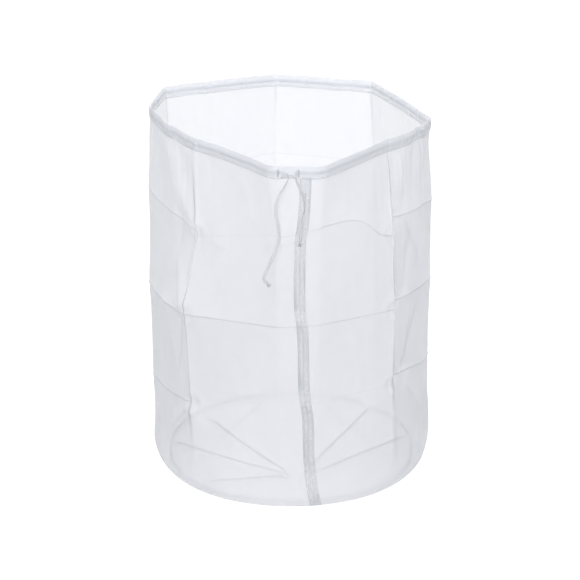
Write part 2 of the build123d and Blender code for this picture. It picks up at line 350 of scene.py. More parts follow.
def sewing_thread(name, colour, groove_shade):
    """Spun polyester sewing thread: two plies twisted together, so fine slanted bands show on it, with
    painted shade in the grooves between them.
    """
    material, tree = new_material(name)
    slanted = math_node(tree, "ADD", *across_and_along(tree))
    tint, relief = ridges(tree, slanted, 0.5 * MM, groove_shade, colour, strength=0.4, depth=0.1 * MM)
    surface = node(tree, "BsdfPrincipled", {
        "Base Color": tint, "Roughness": 0.55, "Specular IOR Level": 0.4, "Normal": relief})
    behind = node(tree, "BsdfTranslucent", {"Color": tint})
    node(tree, "OutputMaterial", {"Surface": mixed(tree, 0.45, surface, behind).outputs[0]})
    return material


# Threads about 0.3 mm apart are too fine to show, so the weave is drawn at 1.4 mm.
# The second colour of each cloth is painted shade, drawn where its crease attribute marks a crease or stitch
# line.
VOILE = sheer_cloth("polyester_voile", "#EEEFF1", "#B0B4BB", opacity=0.63, weave=0.03, spacing=1.4 * MM,
                    denser=0.1, translucent=0.22)
HEM = sheer_cloth("polyester_voile_folded", "#ECEEF0", "#B0B4BB", opacity=0.52, weave=0.04, spacing=1.4 * MM,
                  translucent=0.25)
TAPE = sheer_cloth("seam_tape_plain_weave", "#EDEEF0", "#B4B8BD", opacity=0.42, weave=0.05, spacing=1.2 * MM,
                   denser=0.12, translucent=0.3)
BINDING = sheer_cloth("seam_binding_plain_weave", "#EEEEF0", "#B0B4BB", opacity=0.14, weave=0.03,
                      spacing=1.2 * MM, translucent=0.4)
# The second colour of the braid and of the thread is painted shade in their grooves.
BRAID = braided_cord("polyester_flat_braid", "#FCFCFD", "#E9EAED")
THREAD = sewing_thread("polyester_sewing_thread", "#FAFAFB", "#E2E4E7")


# ---- outline of the bag ----------------------------------------------------------------
PER_EDGE = 60  # points of each straight run and of each bend


def level_outline(level, bulges):
    """One level's closed line, as (x, y, z), with the place of each panel's points.

    Each bend is an arc that touches the two straight runs beside it, and the height changes along it from
    the panel before to the panel after. A run bulges out as a half sine of its length.
    """
    x, y, z_before, z_after, bend = np.array(level, float).T * MM
    corners = np.stack([x, y], axis=1)
    before = unit(corners - np.roll(corners, 1, axis=0))
    after = unit(np.roll(corners, -1, axis=0) - corners)
    side = np.sign(before[:, 0] * after[:, 1] - before[:, 1] * after[:, 0])[:, None]
    half_turn = np.arccos(np.clip((before * after).sum(axis=1), -1, 1)) / 2
    centre = corners - unit(before - after) * (bend / np.cos(half_turn))[:, None]
    right = np.array([[0, -1], [1, 0]])
    start_way, end_way = side * (before @ right), side * (after @ right)
    start, end = centre + start_way * bend[:, None], centre + end_way * bend[:, None]
    share = np.arange(PER_EDGE) / PER_EDGE
    first = np.roll(end, 1, axis=0)
    swell = np.array(bulges)[:, None] * MM * np.sin(np.pi * share)
    runs = first[:, None] + (start - first)[:, None] * share[None, :, None]
    runs = runs + (before @ right)[:, None] * swell[..., None]
    run_z = np.roll(z_after, 1)[:, None] + (z_before - np.roll(z_after, 1))[:, None] * share
    first_angle = np.arctan2(start_way[:, 1], start_way[:, 0])[:, None]
    angles = first_angle + (2 * half_turn * side[:, 0])[:, None] * share
    bends = centre[:, None] + np.stack([np.cos(angles), np.sin(angles)], axis=-1) * bend[:, None, None]
    bend_z = z_before[:, None] + (z_after - z_before)[:, None] * smooth_step(share)
    plan = np.concatenate([runs, bends], axis=1).reshape(-1, 2)
    return np.column_stack([plan, np.concatenate([run_z, bend_z], axis=1).ravel()])


def foot_outline(half_width=2.5):
    """The round foot, split at each crease's angle so that its points belong to the levels' points.

    half_width is half the angle, in degrees, that a crease's bend takes up.
    """
    angle = np.array(FOOT_ANGLES, float)
    last = np.roll(angle, 1)
    last[0] -= 360
    share = np.arange(PER_EDGE) / PER_EDGE
    runs = (last + half_width)[:, None] + (angle - last - 2 * half_width)[:, None] * share
    bends = (angle - half_width)[:, None] + 2 * half_width * share
    turn = np.radians(np.concatenate([runs, bends], axis=1).ravel())
    reach = BAG_RADIUS + 1.3 * MM * np.clip(-np.sin(turn), 0, 1) ** 2
    return np.column_stack([reach * np.cos(turn), reach * np.sin(turn), np.full(turn.shape, FOOT_TOP)])


LEVELS = np.stack([foot_outline()] + [level_outline(level, swell) for level, swell in
                                      zip((LOWER_FOLD, MIDDLE_FOLD, UPPER_FOLD, MOUTH), BULGES)])
waist = LEVELS[2, :, :2]
steps = np.linalg.norm(np.roll(waist, -1, axis=0) - waist, axis=1)
GIRTH = steps.sum()
girth_at = np.concatenate([[0], np.cumsum(steps)[:-1]])
front_line = np.argmin(np.abs(waist[:, 0]) + (waist[:, 1] > 0))
AROUND = (girth_at - girth_at[front_line]) % GIRTH
CREASE_AROUND = AROUND[PER_EDGE * 3 // 2 + 2 * PER_EDGE * np.arange(9)]  # the middle of each bend
order = np.argsort(AROUND)
AROUND, LEVELS = AROUND[order], LEVELS[:, order]


def read_round(values, around):
    """Reads a table that goes round the bag at any place round it."""
    around = np.asarray(around) % GIRTH
    if values.ndim == 1:
        return np.interp(around, AROUND, values, period=GIRTH)
    return np.stack([np.interp(around, AROUND, column, period=GIRTH) for column in values.T], axis=-1)


def signed_around(around, place):
    """How far round the bag a place is from another, the short way, towards +X as seen from the front."""
    return (around - place + GIRTH / 2) % GIRTH - GIRTH / 2


def ripple(around, spacing, seed):
    """Uneven waves round the bag: three sines of nearby spacing that close on themselves."""
    rng = np.random.default_rng(seed)
    total = 0
    for scale in (0.8, 1.0, 1.37):
        waves = max(1, round(GIRTH / (spacing * scale)))
        total = total + np.sin(2 * np.pi * waves * around / GIRTH + rng.uniform(0, 2 * np.pi))
    return total / 3


# The upper fold rises slowly to the right of the seam, and drops again before the next crease.
right_of_front = signed_around(AROUND, 0)
LEVELS[3, :, 2] += (14 * MM * smooth_step((right_of_front - 12 * MM) / (60 * MM))
                    * (1 - smooth_step((right_of_front - 76 * MM) / (34 * MM))))


def panel_values(values, around):
    """A value for each panel, blended over a centimetre at the creases."""
    total, weights = 0, 0
    widths = np.diff(np.append(CREASE_AROUND[-1], CREASE_AROUND)) % GIRTH
    for end, width, value in zip(CREASE_AROUND, widths, values):
        away = np.abs(signed_around(around, end - width / 2)) - width / 2
        weight = 1 / (1 + np.exp(np.clip(away / (2.5 * MM), -30, 30)))
        total, weights = total + weight * value, weights + weight
    return total / weights


def side_share(around):
    """1 at the bag's left and right sides, 0 at the front and the back."""
    right_crease, left_back_crease = CREASE_AROUND[3], CREASE_AROUND[7]
    left = bump(signed_around(around, left_back_crease + 40 * MM), 80 * MM)
    return left + bump(signed_around(around, right_crease - 20 * MM), 75 * MM)


def foot_round(around):
    """Radius with which the cloth rolls in to the bottom seam: crisp in front, wide at the sides and back."""
    depth = read_round(LEVELS[0, :, 1], around) / BAG_RADIUS
    return (2.5 + 17 * smooth_step(0.95 * (1 + depth))) * MM


def segment_ridge(x, y, x0, y0, x1, y1, reach):
    """A ridge along a straight line: falls off to both sides within reach, and tapers at both ends."""
    run_x, run_y = x1 - x0, y1 - y0
    length = np.hypot(run_x, run_y)
    share = (x * run_x + y * run_y) / length**2
    away = np.abs(x * run_y - y * run_x) / length
    taper = smooth_step(share * 5 + 0.4) * smooth_step((1 - share) * 3)
    return taper * np.exp(-away / reach), taper * bump(away, 2.2 * MM)


def wall_relief(around, height):
    """How far the cloth stands out from the flat facets, and its crease mark: how much denser the cloth is
    there and how much painted shade greys it.

    Each fold is a narrow ridge with a soft tent: the cloth above it leans back and the cloth below it
    hangs. Folds lie across the panels, the crossings are dented, gathers hang from the casing at both
    sides, and a slow unevenness covers the rest.
    """
    push, density_and_shade_mark = np.zeros_like(around), np.zeros_like(around)
    sides = side_share(around)
    for number in range(3):
        away = height - read_round(LEVELS[number + 1, :, 2], around)
        plain = panel_values(FOLD_STRENGTH[number], around)
        wander = 0.5 + 0.5 * ripple(around, 70 * MM, seed=31 + number)
        tent = np.where(away > 0, np.exp(-away / (26 * MM)), np.exp(away / (16 * MM)))
        push += plain * (0.35 * MM * bump(away, 1.2 * MM) + (0.8 + 1.7 * sides) * MM * tent)
        # painted shade line along the fold, with denser cloth
        density_and_shade_mark = np.maximum(density_and_shade_mark, plain * (0.55 + 0.45 * wander) * bump(away, 0.6 * MM))
    fade = smooth_step((height - 15 * MM) / (95 * MM))
    for place, plain in zip(CREASE_AROUND, (0, 0, 1.0, 0.3, 0.5, 0.35, 0.5, 0.3, 1.0)):
        away = signed_around(around, place)
        broken = 0.6 + 0.4 * np.sin(height / (17 * MM) + 50 * place)
        push += plain * fade * (0.3 * MM * bump(away, 1.2 * MM) + 0.9 * MM * np.exp(-np.abs(away) / (6 * MM)))
        # painted shade line down the crease, with denser cloth
        density_and_shade_mark = np.maximum(density_and_shade_mark, plain * fade * broken * bump(away, 0.7 * MM))
        for number in range(3):
            cross = np.hypot(away, height - read_round(LEVELS[number + 1, :, 2], around))
            push -= plain * (1.6 * MM * bump(cross, 9 * MM) - 0.9 * MM * bump(cross - 11 * MM, 4 * MM))
    for x0, z0, x1, z1, stand, plain in WRINKLES:
        ridge, line = segment_ridge(signed_around(around, x0 * MM), height - z0 * MM, 0, 0,
                                    (x1 - x0) * MM, (z1 - z0) * MM, 12 * MM)
        push += stand * MM * ridge
        # painted shade line along the fold across the panel, with denser cloth
        density_and_shade_mark = np.maximum(density_and_shade_mark, plain * line)
    hang = np.exp(-(CASING_BOTTOM - height).clip(0) / (42 * MM))
    push += (0.15 + 1.7 * sides) * MM * hang * ripple(around, 12 * MM, seed=3)
    slow = ripple(around, 120 * MM, seed=7) * np.sin(height / (38 * MM) + 1.3)
    slow = slow + ripple(around, 55 * MM, seed=8) * np.sin(height / (21 * MM)) * 0.6
    turned = height / (12 * MM) + ripple(around, 90 * MM, seed=4)
    slow = slow + ripple(around, 26 * MM, seed=9) * np.sin(turned) * 0.25
    push += (0.8 + 1.4 * sides) * MM * slow
    hold = smooth_step(height / (30 * MM)) * smooth_step((CASING_BOTTOM + 2 * MM - height) / (18 * MM))
    return push * hold, density_and_shade_mark


def wall_point(around, height, out=0.0):
    """The wall's surface: straight between the levels of the pattern, pushed out by its relief and by out.

    Below foot_round the cloth rolls in on a quarter circle to the bottom seam.
    """
    around, height = np.broadcast_arrays(np.asarray(around, float) % GIRTH, np.asarray(height, float))
    tables = [read_round(level, around) for level in LEVELS]
    plan = tables[0][..., :2]
    for low, high in zip(tables, tables[1:]):
        share = np.clip((height - low[..., 2]) / (high[..., 2] - low[..., 2]), 0, 1)[..., None]
        between = low[..., :2] + (high[..., :2] - low[..., :2]) * share
        plan = np.where(height[..., None] > low[..., 2:], between, plan)
    step = 1.5 * MM
    ahead, behind = (sum(read_round(LEVELS[k, :, :2], around + small) for k in (0, 2, 4))
                     for small in (step, -step))
    way = unit(ahead - behind)
    normal = np.stack([way[..., 1], -way[..., 0]], axis=-1)
    plan = plan + normal * (wall_relief(around, height)[0] + out)[..., None]
    radius = foot_round(around)
    below = np.clip(radius - height, 0, radius)
    plan = plan - unit(tables[0][..., :2]) * (radius - np.sqrt(radius**2 - below**2))[..., None]
    return np.concatenate([plan, height[..., None]], axis=-1)


def eased(count, pull):
    """Shares from 0 to 1 that lie closer together at both ends: the share less a sine of itself."""
    x = np.arange(count) / count
    return x - pull * np.sin(2 * np.pi * x) / (2 * np.pi)


# ---- side wall -------------------------------------------------------------------------
def make_side_wall(columns_per_panel=60, rows_per_band=34):
    """One panel of voile. Its grid follows the creases and the level folds, closer together at them."""
    crease = np.sort(CREASE_AROUND)
    widths = np.diff(np.append(crease, crease[0] + GIRTH))
    around = np.concatenate([c + w * eased(columns_per_panel, 0.8) for c, w in zip(crease, widths)]) % GIRTH
    levels = [read_round(level[:, 2], around) for level in LEVELS]
    levels[0], levels[-1] = np.full_like(around, WALL_START), levels[-1] + LAP
    share = eased(rows_per_band, 0.75)[:, None]
    bands = [low + (high - low) * share for low, high in zip(levels, levels[1:])]
    height = np.concatenate(bands + [levels[-1][None]])
    around = np.broadcast_to(around, height.shape)
    quads = grid_quads(*height.shape, wrap_columns=True)
    piece = add_mesh("side_wall_cloth", wall_point(around, height), quads, VOILE)
    # the crease attribute: denser cloth and painted shade along the creases and folds
    add_attribute(piece, "crease", wall_relief(around, height)[1])
    add_uv(piece, around, height)
    return piece


side_wall = stand_for(make_side_wall(), "side_wall")


# ---- bottom panel ----------------------------------------------------------------------
# Folds of the bottom, each from one point to another, in the bag's plan.
BOTTOM_FOLDS = np.array([
    [(4, -95), (-98, 75)],
    [(-2, -90), (-140, 12)],
    [(8, -92), (98, 116)],
    [(14, -88), (140, 34)],
    [(0, -88), (-96, -100)],
]) * MM


def bottom_relief(plan):
    """Height and crease mark of the bottom: a tent along each fold, and a slow unevenness. The mark makes the
    cloth denser along each fold and greys it with painted shade.
    """
    relief = np.zeros(plan.shape[:-1])
    density_and_shade_mark = np.zeros(plan.shape[:-1])
    for start, end in BOTTOM_FOLDS:
        way = end - start
        share = np.clip(((plan - start) @ way) / (way @ way), 0, 1)
        away = np.linalg.norm(plan - start - share[..., None] * way, axis=-1)
        ends = smooth_step(share * 8) * smooth_step((1 - share) * 8)
        relief += ends * (4.0 * MM * np.exp(-away / (12 * MM)) + 0.6 * MM * bump(away, 1.5 * MM))
        # painted shade line along the fold, with denser cloth
        density_and_shade_mark = np.maximum(density_and_shade_mark, 1.7 * ends * bump(away, 1.1 * MM))
    relief += 0.9 * MM * (1 + np.sin(plan[..., 0] / (31 * MM) + 0.7) * np.cos(plan[..., 1] / (26 * MM)))
    return relief, density_and_shade_mark


def make_bottom_panel(rings=110, sectors=600):
    """A round of voile: rings from the middle out to the wall's lower edge, closed by a fan at the middle."""
    edge = wall_point(np.arange(sectors) / sectors * GIRTH, WALL_START)[:, :2]
    share = np.arange(1, rings + 1) / rings
    plan = share[:, None, None] * edge
    relief, density_and_shade_mark = bottom_relief(plan)
    flat_edge = smooth_step((1 - share) * 10)[:, None]
    relief, density_and_shade_mark = relief * flat_edge, density_and_shade_mark * flat_edge
    points = np.concatenate([plan, (WALL_START + relief)[..., None]], axis=-1).reshape(-1, 3)
    centre_relief, centre_density_and_shade_mark = bottom_relief(np.zeros((1, 2)))
    points = np.vstack([points, [[0, 0, WALL_START + centre_relief[0]]]])
    quads = grid_quads(rings, sectors, wrap_columns=True)[:, ::-1]
    first = np.arange(sectors)
    fan = np.stack([first, (first + 1) % sectors, np.full(sectors, rings * sectors)], axis=1)
    piece = add_mesh("bottom_cloth", points, quads, VOILE, more_faces=fan.tolist())
    # the crease attribute: denser cloth and painted shade along the bottom's folds
    add_attribute(piece, "crease", np.append(density_and_shade_mark.ravel(), centre_density_and_shade_mark))
    add_uv(piece, points[:, 0], points[:, 1])
    return piece


bottom_panel = stand_for(make_bottom_panel(), "bottom_panel", body="bag")


# ---- bottom seam binding ---------------------------------------------------------------
def seam_stand(around, up):
    """Where the bottom seam's allowance stands, inside the bag: from its foot on the seam it leans inward."""
    seam = wall_point(around, np.full_like(around, WALL_START))[..., :2]
    inward = -unit(seam)
    lean = 1.6 * MM + (0.22 + 0.12 * ripple(around, 34 * MM, seed=12)) * up
    return seam + inward * lean[..., None], inward


def make_bottom_binding(height=7 * MM, thickness=0.9 * MM, columns=540):
    """Tape folded over the seam's raw edges: a rounded flat loop of a section, carried round the foot."""
    turn = full_turn(16)
    across = thickness / 2 * squared(np.cos(turn), 0.6)
    up = height / 2 * (1 + squared(np.sin(turn), 0.6))
    around, up_grid = np.meshgrid(np.arange(columns) / columns * GIRTH, up)
    plan, inward = seam_stand(around, up_grid)
    plan = plan + inward * across[:, None, None]
    points = np.concatenate([plan, (1.4 * MM + up_grid)[..., None]], axis=-1)
    quads = grid_quads(len(turn), columns, wrap_rows=True, wrap_columns=True)
    piece = add_mesh("bottom_seam_tape", points, quads, BINDING)
    add_uv(piece, around, up_grid)
    return piece


bottom_binding = stand_for(make_bottom_binding(), "bottom_seam_binding", body="bag")


# ---- threads ---------------------------------------------------------------------------
def make_stitches(name, starts, ends, outward, thickness, rise):
    """Stitches as short threads from start to end, bowed out of the cloth by rise and sunk at both ends.

    Each is a tube of five rings with six corners, thin at the ends.
    """
    along = np.array([0.0, 0.12, 0.5, 0.88, 1.0])
    girth = np.array([0.35, 0.9, 1.0, 0.9, 0.35]) * thickness / 2
    bow = np.array([-0.6, 0.55, 1.0, 0.55, -0.6]) * rise
    count, rings, corners = len(starts), len(along), 6
    turn = full_turn(corners)
    way = unit(ends - starts)
    side = np.cross(way, outward)
    line = starts[:, None] + (ends - starts)[:, None] * along[None, :, None]
    line = line + outward[:, None] * bow[None, :, None]
    ring = (np.cos(turn)[None, None, :, None] * outward[:, None, None]
            + np.sin(turn)[None, None, :, None] * side[:, None, None]) * girth[None, :, None, None]
    points = (line[:, :, None] + ring).reshape(-1, 3)
    first_point = np.arange(count)[:, None, None] * rings * corners
    quads = (grid_quads(rings, corners, wrap_columns=True) + first_point).reshape(-1, 4)
    caps = np.stack([np.arange(corners)[::-1], np.arange(corners) + (rings - 1) * corners])
    caps = (caps + first_point).reshape(-1, corners)
    piece = add_mesh(name, points, quads, THREAD, more_faces=caps.tolist())
    lengths = np.linalg.norm(ends - starts, axis=1)
    add_uv(piece, np.broadcast_to(turn * thickness / 2, (count, rings, corners)),
           np.broadcast_to((lengths[:, None] * along)[:, :, None], (count, rings, corners)))
    return piece


def surface_normal(point_of, around, height):
    """Outward normal of a surface given by around and height, from small steps both ways."""
    step = 0.4 * MM
    right = point_of(around + step, height) - point_of(around - step, height)
    up = point_of(around, height + step) - point_of(around, height - step)
    return unit(np.cross(right, up))


def stitch_row(point_of, around, height, across=0.0, up=0.0, face=1):
    """A row of stitches on a surface, each across long or up long: starts, ends and outward directions."""
    outward = surface_normal(point_of, around + across / 2, height + up / 2)
    return point_of(around, height), point_of(around + across, height + up), face * outward


# ---- side seam -------------------------------------------------------------------------
# The seam wanders a little: heights from the floor up, and how far right of the front's middle it runs.
SEAM_HEIGHTS = np.array([0, 15, 30, 55, 100, 118, 135, 190, 206, 222, 260, 300, 318, 345, 370]) * MM
SEAM_PLACES = np.array([26, 23, 20.5, 18.4, 17.6, 15, 13, 12.4, 11, 8.8, 8.4, 9.2, 12.2, 14, 14.6]) * MM
TAPE_WIDTH = 12 * MM


def seam_around(across, height):
    """Places round the bag that lie across from the seam, which turns within a few millimetres' height.

    The seam's place is known as a distance to the right, so the place round the bag is found by going
    back by what is left over, a few times.
    """
    spread = np.linspace(-7 * MM, 7 * MM, 9)
    height = np.asarray(height)
    target = np.interp(height[..., None] + spread, SEAM_HEIGHTS, SEAM_PLACES).mean(axis=-1) + across
    around = target
    for _ in range(5):
        around = around + target - wall_point(around, height)[..., 0]
    return around


def tape_point(across, height, out=0.0):
    """The tape's outer face: the wall's, a little proud, with its edges pressed down."""
    edge = np.clip(np.abs(across) / (TAPE_WIDTH / 2), 0, 1.2) ** 6
    pucker = 0.22 * MM * np.sin(height / (1.15 * MM) + 3 * np.sin(height / (17 * MM)))
    pucker = pucker * (0.3 + np.abs(across) / TAPE_WIDTH)
    return wall_point(seam_around(across, height), height, 0.75 * MM - 0.25 * MM * edge + pucker + out)


def make_seam_tape(rows=420, columns=13):
    """Tape over the wall's vertical joint: a strip that follows the wall, with a real thickness."""
    across = np.linspace(-TAPE_WIDTH / 2, TAPE_WIDTH / 2, columns)
    height = np.linspace(1.0 * MM, CASING_BOTTOM + 1.2 * MM, rows)
    grid_height, grid_across = np.meshgrid(height, across, indexing="ij")
    points = tape_point(grid_across, grid_height)
    piece = add_mesh("side_seam_band", points, grid_quads(rows, columns), TAPE)
    # The tape's crease attribute: painted shade with denser cloth along its three stitch lines, long patches
    # a little darker and lighter, and thinner cloth at four heights.
    line = np.minimum.reduce([np.abs(np.abs(grid_across) - 4.4 * MM), np.abs(grid_across)])
    broken = sum(bump(grid_height - place * MM, reach * MM)
                 for place, reach in ((216, 5), (125, 6), (32, 11), (292, 9)))
    long_patches = 0.25 * np.sin(grid_height / (29 * MM)) * np.sin(grid_height / (23 * MM) + grid_across * 300)
    add_attribute(piece, "crease", 0.3 * bump(line, 0.8 * MM) + 0.8 * long_patches - 1.4 * np.clip(broken, 0, 1))
    add_uv(piece, grid_across, grid_height)
    thick = piece.modifiers.new("thickness", "SOLIDIFY")
    thick.thickness = 0.45 * MM
    thick.offset = -1
    return piece


seam_tape = stand_for(make_seam_tape(), "side_seam_tape")


def make_seam_stitches(pitch=3.0 * MM, length=2.3 * MM):
    """Three rows of straight stitches up the tape."""
    height = np.arange(3 * MM, CASING_BOTTOM - 2 * MM, pitch)
    rows = []
    for across in (-4.4 * MM, 0.0, 4.4 * MM):
        shift = 0.25 * MM * np.sin(height / (9 * MM) + across * 1000)
        rows.append(stitch_row(tape_point, across + shift, height, up=length))
    return make_stitches("side_seam_thread", *map(np.concatenate, zip(*rows)),
                         thickness=0.32 * MM, rise=0.12 * MM)


seam_stitches = stand_for(make_seam_stitches(), "side_seam_stitching")


def make_binding_stitches(pitch=4.6 * MM):
    """Overlock thread over the bottom seam's binding: slanted stitches on its inner face, up and down."""
    count = round(GIRTH / pitch)
    around = np.arange(count) / count * GIRTH
    places = []
    for shift, up in ((0, 1.0 * MM), (0.55 * pitch, 6.2 * MM), (pitch, 1.0 * MM)):
        plan, inward = seam_stand(around + shift, np.full(count, up))
        places.append(np.column_stack([plan + inward * 0.55 * MM, np.full(count, 1.4 * MM + up)]))
    outward = np.column_stack([inward, np.zeros(count)])
    return make_stitches("bottom_seam_thread", np.concatenate(places[:2]), np.concatenate(places[1:]),
                         np.concatenate([outward, outward]), thickness=0.35 * MM, rise=0.15 * MM)


binding_stitches = stand_for(make_binding_stitches(), "bottom_seam_stitching", body="bag")


# ---- drawstring casing -----------------------------------------------------------------
OPENING_LEFT, OPENING_RIGHT, OPENING_RISE = -6 * MM, 7.5 * MM, 5.2 * MM
# Section of the folded hem: heights above its lower edge, and half its thickness there. It is pinched
# at the stitch line and swells over the drawstring.
HEM_UP = np.array([0.0, 0.35, 1.1, 2.0, 3.0, 4.2, 5.6, 7.4, 9.4, 11.4, 12.9, 13.7, 14.0]) * MM
HEM_HALF = np.array([0.2, 0.45, 0.52, 0.5, 0.65, 0.85, 1.1, 1.2, 1.05, 0.85, 0.65, 0.42, 0.12]) * MM


def opening_share(around, margin=2.2 * MM):
    """1 along the opening the drawstring comes out of, 0 beyond both its ends."""
    place = signed_around(around, 0)
    return smooth_step((place - OPENING_LEFT) / margin) * smooth_step((OPENING_RIGHT - place) / margin)


def casing_point(around, up, side):
    """The casing's faces: the mouth's line, out or in by half the hem's thickness at that height.

    side is 1 on the outer face and -1 on the inner. Gathers ripple the band sideways and lift its edges,
    most at the two sides, and at the opening the outer flap is lifted clear of the drawstring.
    """
    around, up = np.broadcast_arrays(np.asarray(around, float) % GIRTH, np.asarray(up, float))
    free = 1 - bump(signed_around(around, 0), 26 * MM)
    gather = (0.25 + 0.75 * side_share(around)) * free
    mouth = read_round(LEVELS[4], around)
    way = unit(read_round(LEVELS[4, :, :2], around + 2 * MM) - read_round(LEVELS[4, :, :2], around - 2 * MM))
    normal = np.stack([way[..., 1], -way[..., 0]], axis=-1)
    half = np.interp(up, HEM_UP, HEM_HALF) * (1 + 0.3 * gather * ripple(around, 8 * MM, seed=21))
    sway = 0.9 * MM * gather * ripple(around, 10 * MM, seed=22) * (0.5 + 0.5 * np.sin(up / (3.2 * MM)))
    lift = 0.5 * MM * gather * ripple(around, 12 * MM, seed=23) * smooth_step(up / CASING_HEIGHT * 1.5)
    slow = (1.2 * side_share(around) + 0.35) * MM * free * ripple(around, 48 * MM, seed=24)
    inside = opening_share(around) * (side > 0)
    hem = np.clip(1 - up / OPENING_RISE, 0, 1) * inside
    out = 0.3 * MM + side * half + sway + 1.1 * MM * hem
    plan = mouth[..., :2] + normal * out[..., None]
    level = mouth[..., 2] + up + lift + slow + hem * OPENING_RISE
    return np.concatenate([plan, level[..., None]], axis=-1)


def make_casing(columns=960):
    """The hem folded over and sewn down, as one closed loop of a section carried round the mouth."""
    around = np.arange(columns) / columns * GIRTH
    ups = np.concatenate([HEM_UP, HEM_UP[::-1][1:-1]])
    sides = np.concatenate([np.ones(len(HEM_UP)), -np.ones(len(HEM_UP) - 2)])
    points = np.stack([casing_point(around, np.full(columns, up), side) for up, side in zip(ups, sides)])
    quads = grid_quads(len(ups), columns, wrap_rows=True, wrap_columns=True)
    piece = add_mesh("casing_cloth", points, quads, HEM)
    length = np.cumsum(np.concatenate([[0], np.abs(np.diff(ups))]))
    add_uv(piece, *np.broadcast_arrays(around[None], length[:, None]))
    return piece


casing = stand_for(make_casing(), "drawstring_casing", body="mouth")


def make_casing_stitches(pitch=2.9 * MM, length=2.2 * MM, up=2.0 * MM):
    """The hem's stitch line, on both faces, broken at the opening."""
    first, last = OPENING_RIGHT + 2.2 * MM, GIRTH + OPENING_LEFT - 2.2 * MM
    around = np.arange(first, last - pitch, pitch)
    rows = [stitch_row(lambda a, z, side=side: casing_point(a, z, side), around, up, across=length, face=side)
            for side in (1, -1)]
    return make_stitches("casing_thread", *map(np.concatenate, zip(*rows)),
                         thickness=0.32 * MM, rise=0.12 * MM)


casing_stitches = stand_for(make_casing_stitches(), "casing_stitching", body="mouth")


def make_bar_tacks(width=1.7 * MM, height=8.0 * MM, rows=14):
    """Dense level stitches, one above the other, at each end of the opening."""
    starts, ends = [], []
    for place in (OPENING_LEFT - 1.2 * MM, OPENING_RIGHT + 1.2 * MM):
        up = 2.3 * MM + np.arange(rows) / (rows - 1) * height
        around = np.full(rows, place)
        starts.append(casing_point(around - width / 2, up, 1))
        ends.append(casing_point(around + width / 2, up + 0.25 * MM, 1))
    starts, ends = np.concatenate(starts), np.concatenate(ends)
    outward = np.broadcast_to([0.0, -1.0, 0.0], starts.shape)
    return make_stitches("bar_tack_thread", starts, ends, outward, thickness=0.5 * MM, rise=0.15 * MM)


bar_tacks = stand_for(make_bar_tacks(), "bar_tacks", body="mouth")


# ---- drawstring ------------------------------------------------------------------------
def smooth_line(name, points_mm):
    """Points along a smooth line that has the route's points as its control points."""
    curve = bpy.data.curves.new(name, "CURVE")
    curve.dimensions = "3D"
    curve.resolution_u = 24
    spline = curve.splines.new("NURBS")
    spline.points.add(len(points_mm) - 1)
    for point, place in zip(spline.points, points_mm):
        point.co = (*(c * MM for c in place), 1)
    spline.order_u = 3
    spline.use_endpoint_u = True
    holder = bpy.data.objects.new(name, curve)
    scene.collection.objects.link(holder)
    line = bpy.data.meshes.new_from_object(holder)
    points = np.array([v.co for v in line.vertices])
    bpy.data.objects.remove(holder)
    bpy.data.meshes.remove(line)
    return points


def evenly(points, step):
    """The same line, read at even steps."""
    run = np.concatenate([[0], np.cumsum(np.linalg.norm(np.diff(points, axis=0), axis=1))])
    at = np.linspace(0, run[-1], max(8, int(run[-1] / step)))
    return np.stack([np.interp(at, run, points[:, k]) for k in range(3)], axis=1), at


def carry_section(name, points, at, flat_way, across, up, closed=False):
    """A section of braid, across by up, carried along a line with its up side along flat_way.

    The ends are capped, or the line is closed and its last point is the first one again.
    """
    way = unit(np.gradient(points, axis=0))
    thin = unit(flat_way - (flat_way * way).sum(axis=1, keepdims=True) * way)
    wide = np.cross(way, thin)
    ring = points[:, None] + wide[:, None] * across[None, :, None] + thin[:, None] * up[None, :, None]
    if closed:
        ring = ring[:-1]
    rows, columns = ring.shape[:2]
    first, last = np.arange(columns)[::-1], np.arange(columns) + (rows - 1) * columns
    piece = add_mesh(name, ring, grid_quads(rows, columns, wrap_rows=closed, wrap_columns=True), BRAID,
                     more_faces=[] if closed else [first.tolist(), last.tolist()])
    add_uv(piece, np.broadcast_to(across, (rows, columns)),
           np.broadcast_to(at[:rows, None], (rows, columns)))
    return piece


def make_braid(name, points, at, flat_way, thickness=CORD_THICKNESS):
    """A flat braid along a line: a rounded section, its flat faces looking along flat_way."""
    turn = full_turn(14)
    across = CORD_WIDTH / 2 * squared(np.cos(turn), 0.55)
    return carry_section(name, points, at, flat_way, across, thickness / 2 * squared(np.sin(turn), 0.8))


def make_tail(name, route, twist_at, twist):
    """A tail of the drawstring: edge on to the front as it leaves the casing, then turned by twist."""
    points, at = evenly(smooth_line(name + "_line", route), 0.7 * MM)
    angle = np.interp(at / at[-1], twist_at, np.radians(twist))
    flat_way = np.stack([np.cos(angle), np.sin(angle), 0 * angle], axis=1)
    return make_braid(name, points, at, flat_way), points, at[-1]


def make_knot(name, place, direction, size=5.6 * MM):
    """An overhand knot: a trefoil, sin t + 2 sin 2t by cos t - 2 cos 2t by -1.4 sin 3t, of the same braid."""
    t = np.linspace(0, 2 * np.pi, 140)
    shape = [np.sin(t) + 2 * np.sin(2 * t), np.cos(t) - 2 * np.cos(2 * t), -1.4 * np.sin(3 * t)]
    shape = np.stack(shape, axis=1) / 3 * (size / 2 - 0.75 * MM)
    way = unit(np.asarray(direction, float))
    side = unit(np.cross(way, [0.2, 1, 0.1]))
    turn = np.stack([side, way, np.cross(side, way)])
    points = shape @ turn + place
    at = np.arange(len(points)) * 0.25 * MM
    round_turn = full_turn(10)
    return carry_section(name, points, at, unit(points - place), 0.95 * MM * np.cos(round_turn),
                         0.62 * MM * np.sin(round_turn), closed=True)


